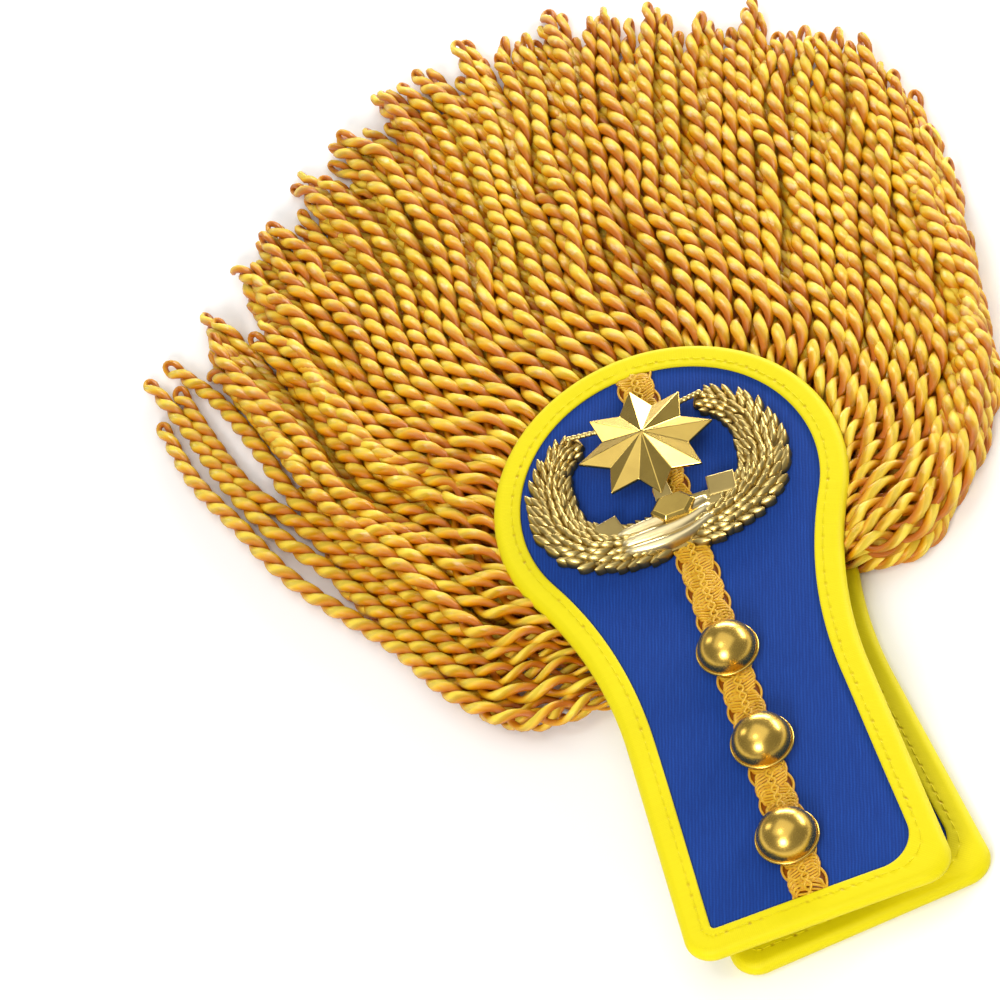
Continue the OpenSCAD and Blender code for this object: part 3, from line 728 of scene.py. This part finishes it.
def two_ply(ways, squeeze, loose, seed, rings=RINGS):
    """A cord of two plies that turn about its way, as one tube: out along the first ply, round a
    small loop at the tip, and back along the second. The plies turn like the stroke of an S. They are
    slack near the root, and thinner and further apart where loose is 1. They are drawn together at
    the head, laid more tightly towards the tip, and swell a little where they lie on top. Each has a
    painted highlight, paler towards one side, which lies to the right of the way out, and painted
    shade in the lay between the plies and where it faces down."""
    rng = np.random.default_rng(seed)
    axis = fine_way(ways, rings)
    count = len(axis)
    along = unit(np.gradient(axis, axis=1))
    across = unit(np.cross([0.0, 0.0, 1.0], along))
    upward = np.cross(along, across)
    run = run_of(axis)
    slack = (1 - ease((run - 8) / 34)) * rng.uniform(0.5, 1.2, (count, 1))
    opened = slack * loose[:, None]
    lay = (LAY_TIP + (LAY_ROOT - LAY_TIP) * (1 - ease(run / 55))) * rng.uniform(0.9, 1.1, (count, 1))
    lay = lay * (1 + 0.12 * np.sin(run / rng.uniform(9, 16, (count, 1)) + rng.uniform(0, 6.3, (count, 1))))
    turn = rng.uniform(0, 6.28, (count, 1)) - np.cumsum(CIRCLE / lay * np.gradient(run, axis=1), 1)
    thin = np.stack([np.interp(np.linspace(0, 1, rings), station, row) for row in squeeze])
    out = np.cos(turn)[..., None] * across + np.sin(turn)[..., None] * upward
    to_tip = run[:, -1:] - run
    open_eye = rng.uniform(-0.25, 0.55, (count, 1)) * (1 - ease(to_tip / 5))
    apart = (PLY_R * thin * (0.86 + 0.25 * slack + 0.5 * opened + open_eye))[..., None]
    swing = np.radians(np.linspace(18, 162, 7))[None, :, None]
    end, end_out, end_along = axis[:, -1:], out[:, -1:], along[:, -1:]
    eye_long = rng.uniform(1.1, 2.6, (count, 1, 1))
    eye = end + apart[:, -1:] * (np.cos(swing) * end_out + eye_long * np.sin(swing) * end_along)
    centre = np.concatenate([axis + apart * out, eye, (axis - apart * out)[:, ::-1]], 1)
    outward = np.concatenate([out, np.cos(swing) * end_out + np.sin(swing) * end_along, -out[:, ::-1]], 1)
    fine = thin * (1 - 0.22 * (1 - ease(to_tip / 6))) * (1 - 0.25 * opened)
    fine = np.concatenate([fine, np.repeat(fine[:, -1:], 7, 1) * 0.9, fine[:, ::-1]], 1)
    on_top = outward[..., 2]
    skin = thick(centre, PLY_R * 0.94 * fine * (1 + 0.13 * on_top), SIDES, outward, flat=1.2)
    skin[..., 2] = np.maximum(skin[..., 2], 0.05)
    # The crown mark paints light and shade: a painted highlight on one side of each ply, kept on the same
    # side on the way back from the loop, and painted shade in the lay between the plies and where a ply faces
    # down.
    over_tip = ease((np.arange(centre.shape[1]) - rings + 1) / 8)
    highlight_side = np.radians(HIGHLIGHT_SIDE) * (1 - 2 * over_tip)
    crown = 0.5 + 0.5 * np.cos(full_turn(SIDES) - highlight_side[:, None])
    crown = crown * (0.5 + 0.5 * ease((on_top + 0.7) / 1.4))[..., None]
    tone = rng.uniform(0, 1, (count, 1, 1))
    return tubes(skin, thick_uv(centre, PLY_R, SIDES), crown=crown, tone=tone)


loose = np.interp(index, [4, 12, 22, 27], [1.2, 0, 0, 0.7])
ways[..., :2] += round_mid
bounds_between = [0, 38, 76, 114, CORDS]
for number, side in enumerate(["left", "crown_left", "crown_right", "right"]):
    group = slice(bounds_between[number], bounds_between[number + 1])
    cords = two_ply(ways[group], squeeze[group], loose[group], 40 + number)
    sew("bullions_" + side, [cords], gold_bullion, "gold_bullion", "fringe")

# More cords lie under them, midway between two of every third pair and a little shorter.
body = index > LONE + 1
between = ((ways[body][1:] + ways[body][:-1]) / 2)[::3, :-4]
between[..., 2] = GIRTH / 2 + 0.1
sew("bullions_under", [two_ply(between, squeeze[body][:-1][::3], np.zeros(len(between)), 50, 66)],
    gold_bullion, "gold_bullion", "fringe")

# The top board and its binding: the same board and tape again, over the fringe's head. This is the
# face that is seen.
covered_board("top_board", 0.0)
taped("top_binding", 0.0)

# The gimp braid: gold cords that swing from side to side in scallops, between two thin edge cords,
# over a flat core painted dark, as the shade between them. It is sewn down the middle of the board
# and its ends go under the tape.
BRAID_W, SCALLOP, BRAID_TURN, BRAID_X = 9.0, 8.4, -0.8, 0.5
EDGE_CORD_R, GIMP_R, GIMP_CORDS, GIMP_STEP = 0.3, 0.33, 8, 0.78

gold_gimp = yarn_finish("gold gimp", rgb(116, 46, 0), rgb(204, 126, 4), rgb(236, 186, 44), 0.3, 1.6)
low, high = corners("braid")
braid_low, braid_high = low[2], high[2]
run = np.linspace(low[1] - round_mid[1] - 0.4, high[1] - round_mid[1] + 0.4, 520)


def scallop_edge(run, side):
    """The braid's edge: a lobe a scallop long, the two sides staggered by half a scallop."""
    return side * BRAID_W / 2 * (0.6 + 0.4 * np.abs(np.sin(np.pi * run / SCALLOP + math.pi / 4 * (1 + side))))


def braid_way(across, height):
    """Cords of the braid, laid down the board: their place across and their height at every run."""
    return laid(swung(joined(across, run), BRAID_TURN) + [BRAID_X, 0], height)


to_end = np.minimum(run - run[0], run[-1] - run)
tucked = 1.2 * (1 - ease(to_end / 2.2))
edge = np.stack([scallop_edge(run, side) - side * EDGE_CORD_R for side in (-1, 1)])
edge_cords = braid_way(edge, braid_low + 0.45 - 0.6 * tucked)
lag = (np.arange(GIMP_CORDS)[:, None] - (GIMP_CORDS - 1) / 2) * GIMP_STEP
swing = CIRCLE * (run[None] - lag) / SCALLOP - np.pi / 2
inward = 0.3 * np.abs(lag)
reach_across = (BRAID_W / 2 - 0.6 - inward) * np.sin(swing + 0.3 * np.sin(2 * swing))
pressed = 0.16 * np.cos(CIRCLE * run[None] / 1.5 + np.arange(GIMP_CORDS)[:, None] * np.pi)
over = braid_high - GIMP_R - 0.52 + 0.22 * np.cos(swing * 2) + pressed
gimp_cords = braid_way(reach_across, over - tucked)
chain_swing = np.pi * (4 * run[None] / SCALLOP + np.arange(2)[:, None])
chain = braid_way(0.75 * np.sin(chain_swing), braid_high - GIMP_R + 0.1 * np.sin(chain_swing / 2) - tucked)
core_half = np.stack([scallop_edge(run, -1) + 0.5, scallop_edge(run, 1) - 0.5])
core_levels = ((0, 0.0), (1, 0.0), (1, 0.45), (0, 0.45))
core = np.stack([braid_way(core_half[k], braid_low + level - 0.6 * tucked) for k, level in core_levels], 1)
# The gimp cords' crown mark is painted shade: lighter on top, darker underneath.
gimp_crown = np.clip(0.5 + 0.62 * np.cos(full_turn(7)), 0, 1)
parts = [cord(edge_cords, EDGE_CORD_R, 6, crown=0.8, tone=1.0),
         cord(gimp_cords, GIMP_R, 7, crown=gimp_crown, tone=(np.arange(GIMP_CORDS) % 2)[:, None, None]),
         cord(chain, GIMP_R, 7, crown=gimp_crown, tone=1.0),
         # The core's low crown mark paints it dark, as the shade seen between the cords.
         tubes(core[None], core[None, ..., :2], crown=0.3, tone=0.0)]
sew("braid_gimp", parts, gold_gimp, "gold_gimp", "braid")

# The badge: one casting in pale brass, with two branches of laurel, a folded ribbon with a
# six-sided boss, a stem, and a star of eight ridged rays that two thin arms join to the branches.
# It is polished, and its colour is painted lighter on raised faces and darker in its hollows, as painted
# shade.
WREATH_A, WREATH_LOW, WREATH_HIGH, SQUARENESS = 24.0, 16.0, 19.0, 2.5
LEAF_BAND, BRANCH_END, END_SHARE = 11.2, 51.0, 0.56
BAND_T = 1.0
BADGE_PLACE = np.array([-1.5, 3.5])
badge_base = corners("badge")[0][2]

# Cast metal, on any piece with Object coordinates: a fine grain and slow tarnish.
cast, given, out = effect("Cast metal", {"Place": (0.0, 0.0, 0.0), "Grain": 2600.0, "Tarnish": 160.0},
                          ["Grain", "Tarnish"])
fill(out, {"Grain": noise(given["Place"], given["Grain"], 3.0),
           "Tarnish": noise(given["Place"], given["Tarnish"], 4.0)})


def metal_finish(name, dark, light, rough, depth):
    """Polished brass with a fine grain and slow tarnish, painted lighter on raised faces and darker in
    hollows by the crown mark, as painted shade.
    """
    finish, tree, skin = fresh_finish(name)
    place = shade(tree, "ShaderNodeTexCoord")["Object"]
    marks = shade(tree, "ShaderNodeGroup", {"Place": place}, node_tree=cast)
    # The crown mark is painted shade: low in hollows, high on raised faces.
    crown = shade(tree, "ShaderNodeAttribute", attribute_name="crown")["Fac"]
    shown = marks["Tarnish"].math("MULTIPLY_ADD", 0.5, -0.25).math("ADD", crown, clamp=True)
    fill(skin, {"Base Color": blend_of(shown, dark, light), "Metallic": 1.0,
                "Roughness": marks["Grain"].math("MULTIPLY_ADD", 0.10, rough - 0.05),
                "Normal": sunk(marks["Grain"], depth, 0.4)})
    return finish


pale_brass = metal_finish("pale cast brass", rgb(110, 84, 34), rgb(204, 180, 112), 0.32, 0.000006)
bright_brass = metal_finish("polished brass", rgb(106, 74, 20), rgb(222, 190, 100), 0.18, 0.000004)
# A paler copy of the brass for the ribbon, a painted highlight on its smooth folds.
painted_highlight_brass = metal_finish("brass with painted highlight", rgb(150, 122, 60), rgb(244, 226, 174), 0.3, 0.000006)


def on_badge(plan, height):
    """Points counted from the badge's middle, moved to where it is pinned."""
    return laid(plan + BADGE_PLACE, height + badge_base)


def oval(dirs):
    """The squarish oval that the branches follow, open at the top: a superellipse in polar form."""
    low = np.where(np.sin(np.radians(dirs)) < 0, WREATH_LOW, WREATH_HIGH)
    way = heading(dirs)
    size = (np.abs(way[..., 0]) / WREATH_A) ** SQUARENESS + (np.abs(way[..., 1]) / low) ** SQUARENESS
    return way / size[..., None] ** (1 / SQUARENESS)


def oval_normal(dirs):
    """The oval's outward direction."""
    along = unit(oval(dirs + 1) - oval(dirs - 1))
    return joined(along[..., 1], -along[..., 0])


def band_half(dirs):
    """Half the width of the band of leaves, which narrows towards the branches' ends."""
    away = np.abs(dirs + 90) / (90 + BRANCH_END)
    return LEAF_BAND / 2 * (1 - (1 - END_SHARE) * ease((away - 0.55) / 0.45))


dirs = np.linspace(-180 - BRANCH_END, BRANCH_END, 150)[:, None]
turn = full_turn(14)[None]
spread_out = (band_half(dirs) - 0.8) * np.cos(turn)
centre = oval(dirs) + spread_out[..., None] * oval_normal(dirs)
band = on_badge(centre, BAND_T * (1 + 1.1 * np.sin(turn)) * (np.sin(turn) > -0.1))
# The band lies mostly under the leaves, and its low crown mark paints it dark, as shade.
badge_parts = [tubes(band[None], crown=0.3)]

# Columns: place across the band, splay, length, width, height, lift above the back, leaves, phase.
LEAF_ROWS = np.array([
    [0.80, 30, 4.6, 2.6, 0.9, 0.0, 21, 0.0],
    [-0.80, 28, 3.7, 2.4, 0.8, 0.0, 18, 0.3],
    [0.52, 24, 4.4, 2.6, 1.1, 0.4, 21, 0.5],
    [-0.52, 22, 3.8, 2.5, 1.0, 0.4, 18, 0.8],
    [0.26, 16, 4.2, 2.5, 1.2, 0.7, 21, 0.0],
    [-0.26, 14, 3.9, 2.5, 1.2, 0.7, 19, 0.3],
    [0.0, 0, 4.0, 2.5, 1.3, 0.9, 21, 0.65]])
FIRST_LEAF, LAST_LEAF = 12.0, 5.0

rng = np.random.default_rng(5)
leaves = []
for row, splay, length, width, rise, lift, count, phase in LEAF_ROWS:
    for side in (-1, 1):
        step = (np.arange(int(count)) + phase) / count
        leaf_dir = -90 + side * (FIRST_LEAF + (90 + BRANCH_END - FIRST_LEAF - LAST_LEAF) * step)
        leaf_dir = leaf_dir + rng.uniform(-1.4, 1.4, len(step))
        normal = oval_normal(leaf_dir)
        root_at = oval(leaf_dir) + (row * (band_half(leaf_dir) - 0.2))[:, None] * normal
        course = np.degrees(np.arctan2(normal[:, 1], normal[:, 0])) + side * 90 - side * np.sign(row) * splay
        course = course + rng.uniform(-12, 12, len(step))
        size = 0.5 + band_half(leaf_dir) / LEAF_BAND * rng.uniform(0.9, 1.1, len(step))
        lifted = lift + rng.uniform(-0.12, 0.12, len(step))
        foot = 0.1 if abs(row) > 0.7 else 0.85
        leaves.append(joined(*root_at.T, course, length * size, width * size, rise, lifted, foot))
leaves = np.concatenate(leaves)
u = np.linspace(0, 1, 9)[None, :, None]
v = np.linspace(1, -1, 9)[None, None, :]
course, length, width, rise, lift, foot = (leaves[:, k, None, None] for k in range(2, 8))
full = (u + 0.02) ** 0.45 * (1.02 - u) ** 0.5 / 0.56
along = length * (u - 0.3)
aside = width / 2 * full * v
wall = (1 - np.abs(v) ** 3) ** 0.5
ridge = (1 - 0.6 * np.abs(v)) * (0.25 + 0.75 * np.sin(np.pi * (0.1 + 0.8 * u)))
height = foot + (BAND_T + lift + 0.75 * u - foot + rise * ridge) * wall
leaf_grid = on_badge(leaves[:, None, None, :2] + swung(joined(along, aside), course), height)
# The leaves' crown mark is painted shade: light along the midrib, darker towards the edges and ends.
badge_parts.append(patches(leaf_grid, crown=np.clip(0.25 + 1.1 * ridge * wall, 0, 1)))


def cushion(mid_x, mid_y, width, depth, height, edge, turn, taper):
    """A cast block with soft edges: flat on top and rounded down over its edges, as one patch. turn
    is its heading and taper narrows it towards +Y."""
    s = np.sin(np.linspace(-1, 1, 17) * np.pi / 2)
    u, v = s[:, None], s[None, ::-1]
    falls = [np.sqrt(1 - np.clip((np.abs(t) - 1 + soft) / soft, 0, 1) ** 2)
             for t, soft in ((u, edge * 2 / width), (v, edge * 2 / depth))]
    plan = joined(width / 2 * u * (1 - taper * (v + 1) / 2), depth / 2 * v)
    outermost = (np.abs(u) > 0.999) | (np.abs(v) > 0.999)
    z = height - edge + edge * np.minimum(*falls) - (height - edge) * outermost
    return patches(on_badge(swung(plan, turn) + (mid_x, mid_y), z)[None], crown=0.85)


# Columns: middle across and along, width, depth, height, softness, turn, taper.
BLOCKS = [
    (-13.6, -10.2, 5.4, 5.2, 2.9, 0.3, 12, 0.0),
    (12.8, -8.6, 6.4, 5.4, 2.9, 0.3, -6, 0.0),
    (8.6, -11.4, 7.0, 5.0, 2.7, 0.3, -4, 0.0),
    (0.0, -4.6, 4.4, 9.0, 4.0, 0.4, 0, 0.35)]
badge_parts += [cushion(*row) for row in BLOCKS]

# The ribbon is one patch, whose folds run along it and close up towards its ends.
SWAG_AT, SWAG_LONG, SWAG_WIDE, SWAG_SAG = (-1.6, -14.6), 23.0, 9.8, 1.6
SWAG_TURN, SWAG_H, FOLD_H, FOLDS = 5.0, 3.0, 0.9, 3
u = np.sin(np.linspace(-1, 1, 41) * np.pi / 2)[:, None]
v = np.linspace(1, -1, 49)[None]
rim = (1 - u ** 12) ** 0.5 * (1 - v ** 12) ** 0.5
fold = np.abs(np.sin(np.pi * (FOLDS * (v + 1) / 2 + 0.06 * np.sin(4 * u))))
height = 0.4 + (SWAG_H - 0.4 + FOLD_H * fold ** 0.7 - 0.5 * u ** 2) * rim
swag = joined(SWAG_LONG / 2 * u, SWAG_WIDE / 2 * v * (1 - 0.3 * u ** 2) + SWAG_SAG * (u ** 2 - 0.5))
# Its crown mark is painted shade in the valleys between the folds and at its edges.
ribbon = patches(on_badge(swung(swag, SWAG_TURN) + SWAG_AT, height)[None], crown=0.4 + 0.6 * fold * rim)
sew("badge_ribbon", [ribbon], painted_highlight_brass, "pale_brass", "badge")

# Columns: middle across and along, length, heading. The arms are thin beaded rods.
ARMS = [(-12.0, 16.5, 8.6, -8), (11.7, 16.3, 8.0, 8)]
at = np.linspace(-0.5, 0.5, 40)
for x0, y0, length, turned_by in ARMS:
    plan = np.array([x0, y0]) + length * at[:, None] * heading(turned_by)
    rod = on_badge(plan, 3.2)[None]
    beads = 0.5 + 0.16 * np.abs(np.cos(np.pi * 7 * at))
    badge_parts.append(tubes(thick(rod, beads[None], 10), crown=1.0))
sew("badge_wreath", badge_parts, pale_brass, "pale_brass", "badge")


def faceted(name, rims, bevel, peak=0.0):
    """A casting with flat facets: outlines of the same count of corners, stacked from the back
    upwards and closed with a centre point below and one above, which rises to a peak. Its edges are
    beveled."""
    part = tubes(np.stack(rims)[None], crown=0.9)
    part["points"][-1, 2] += peak
    piece = sew(name, [part], bright_brass, "pale_brass", "badge", smooth=False)
    soft = piece.modifiers.new("soft edges", "BEVEL")
    soft.width = bevel * MM
    soft.segments = 2
    soft.limit_method = "ANGLE"
    soft.angle_limit = math.radians(12)


STAR_AT, STAR_TURN, STAR_LIFT, STAR_RIM, STAR_RISE = (0.2, 8.1), -1.8, 3.4, 0.8, 4.2
RAY_LONG, RAY_LEVEL, RAY_VALLEY = 14.9, 15.6, 9.9
reach = np.where(np.arange(16) % 2, RAY_VALLEY, RAY_LONG)
reach[[0, 8]] = RAY_LEVEL
star_rim = reach[:, None] * heading(np.arange(16) * 22.5 + STAR_TURN) + STAR_AT
faceted("badge_star", [on_badge(star_rim, STAR_LIFT + level) for level in (0, STAR_RIM)], 0.12, STAR_RISE)

BOSS_AT, BOSS_SIZE, BOSS_H, BOSS_BEVEL = np.array([1.1, -11.2]), np.array([5.2, 3.7]), 5.2, 0.8
hexagon = heading(np.arange(6) * 60.0)
boss_rims = [(BOSS_SIZE - cut) * hexagon + BOSS_AT for cut in (0, 0, BOSS_BEVEL, BOSS_BEVEL + 0.4)]
boss_levels = (1.0, BOSS_H - BOSS_BEVEL, BOSS_H, BOSS_H)
faceted("badge_boss", [on_badge(rim, level) for rim, level in zip(boss_rims, boss_levels)], 0.15)

# The buttons: three stamped gilt domes on the braid, each with a thin rolled rim. They are turned
# shapes with a satin polish.
BUTTON_R, DOME_R, DOME_H, RIM_H = 7.0, 6.5, 6.0, 0.8
DOME_BALL = (DOME_R ** 2 + DOME_H ** 2) / (2 * DOME_H)

gilt = metal_finish("gilt button brass", rgb(116, 80, 22), rgb(230, 192, 92), 0.26, 0.000006)
roll = np.radians(np.linspace(-90, 90, 9))
lean = np.linspace(math.asin(DOME_R / DOME_BALL), 0.01, 30)
rim = joined(BUTTON_R - RIM_H / 2 * (1 - np.cos(roll)), RIM_H / 2 * (1 + np.sin(roll)))
dome = joined(DOME_BALL * np.sin(lean), RIM_H + DOME_H - DOME_BALL * (1 - np.cos(lean)))
outline = np.concatenate([[[0.1, 0.0]], rim, [[DOME_R + 0.05, RIM_H - 0.14]], dome])[:, None]
# The crown mark is painted shade: darkest in the groove between rim and dome, dark underneath.
crown = np.concatenate([[0.2], np.full(9, 0.9), [0.0], np.full(30, 0.8)])[None, :, None]
for node in ("button_1", "button_2", "button_3"):
    low, high = corners(node)
    around = (low + high)[:2] / 2 + outline[..., :1] * heading(np.arange(0, 360, 5))
    ring = joined(around[..., 0], around[..., 1], low[2] + outline[..., 1])
    sew(node + "_dome", [tubes(ring[None], crown=crown)], gilt, "gilt_button", node)

# The studio: a plain pale floor, two soft low lights from the far side and the right, a big one
# overhead, one from near the viewer, two weak ones for the metal, and the camera at the
# photograph's angle.
floor_finish, tree, skin = fresh_finish("pale floor")
soft = noise(shade(tree, "ShaderNodeTexCoord")["Object"], 6.0, 2.0)
fill(skin, {"Base Color": blend_of(soft, (0.93, 0.93, 0.93, 1), (0.96, 0.96, 0.96, 1)),
            "Roughness": 0.9, "Specular IOR Level": 0.1})
floor_mesh = bpy.data.meshes.new("floor")
floor_mesh.from_pydata([(-3, -3, 0), (3, -3, 0), (3, 3, 0), (-3, 3, 0)], [], [(0, 1, 2, 3)])
floor_mesh.materials.append(floor_finish)
floor = placed("floor", floor_mesh)

RIGHT = Vector((0.938, -0.253, -0.236))
UP = Vector((0.3447, 0.7476, 0.5678))
BACK = RIGHT.cross(UP).normalized()
UP = BACK.cross(RIGHT).normalized()
RIGHT.normalize()
AIM = Vector((-0.02747, -0.002068, 0.0129))
REACH = 1.2
lens = bpy.data.cameras.new("camera")
lens.sensor_width = 36
lens.lens = 4.504 * REACH * 36
camera = placed("camera", lens)
turn = Matrix((RIGHT, UP, BACK)).transposed().to_4x4()
camera.matrix_world = Matrix.Translation(AIM + BACK * REACH) @ turn
bpy.context.scene.camera = camera

# Columns: name, direction, distance, width, height, power, warmth.
LIGHTS = [
    ("far_low", (0.335, 0.919, 0.208), 0.9, 0.7, 0.16, 7.0, (1.0, 0.98, 0.95)),
    ("right_side", (0.9, 0.36, 0.28), 0.9, 0.5, 0.18, 4.0, (1.0, 0.98, 0.95)),
    ("overhead", (-0.05, -0.05, 1.0), 1.2, 1.5, 1.5, 6.5, (1.0, 0.99, 0.97)),
    ("viewer_low", (-0.297, -0.774, 0.559), 0.9, 0.28, 0.28, 5.0, (1.0, 0.98, 0.95)),
    ("viewer_left", (-0.238, -0.246, 0.94), 0.8, 0.12, 0.12, 0.5, (1.0, 0.98, 0.95)),
    ("left_side", (-0.693, 0.504, 0.515), 0.8, 0.2, 0.3, 0.6, (1.0, 1.0, 1.0))]
for name, direction, distance, width, height, power, warmth in LIGHTS:
    lamp = bpy.data.lights.new(name, "AREA")
    lamp.shape, lamp.size, lamp.size_y, lamp.energy, lamp.color = "RECTANGLE", width, height, power, warmth
    holder = placed(name, lamp)
    holder.location = AIM + Vector(direction).normalized() * distance
    holder.rotation_euler = Vector(direction).to_track_quat("Z", "Y").to_euler()

world = bpy.context.scene.world or bpy.data.worlds.new("room")
bpy.context.scene.world = world
world.use_nodes = True
room = world.node_tree.nodes["Background"]
room.inputs["Color"].default_value = (1.0, 0.98, 0.95, 1)
room.inputs["Strength"].default_value = 0.3
bpy.context.scene.view_settings.view_transform = "Standard"
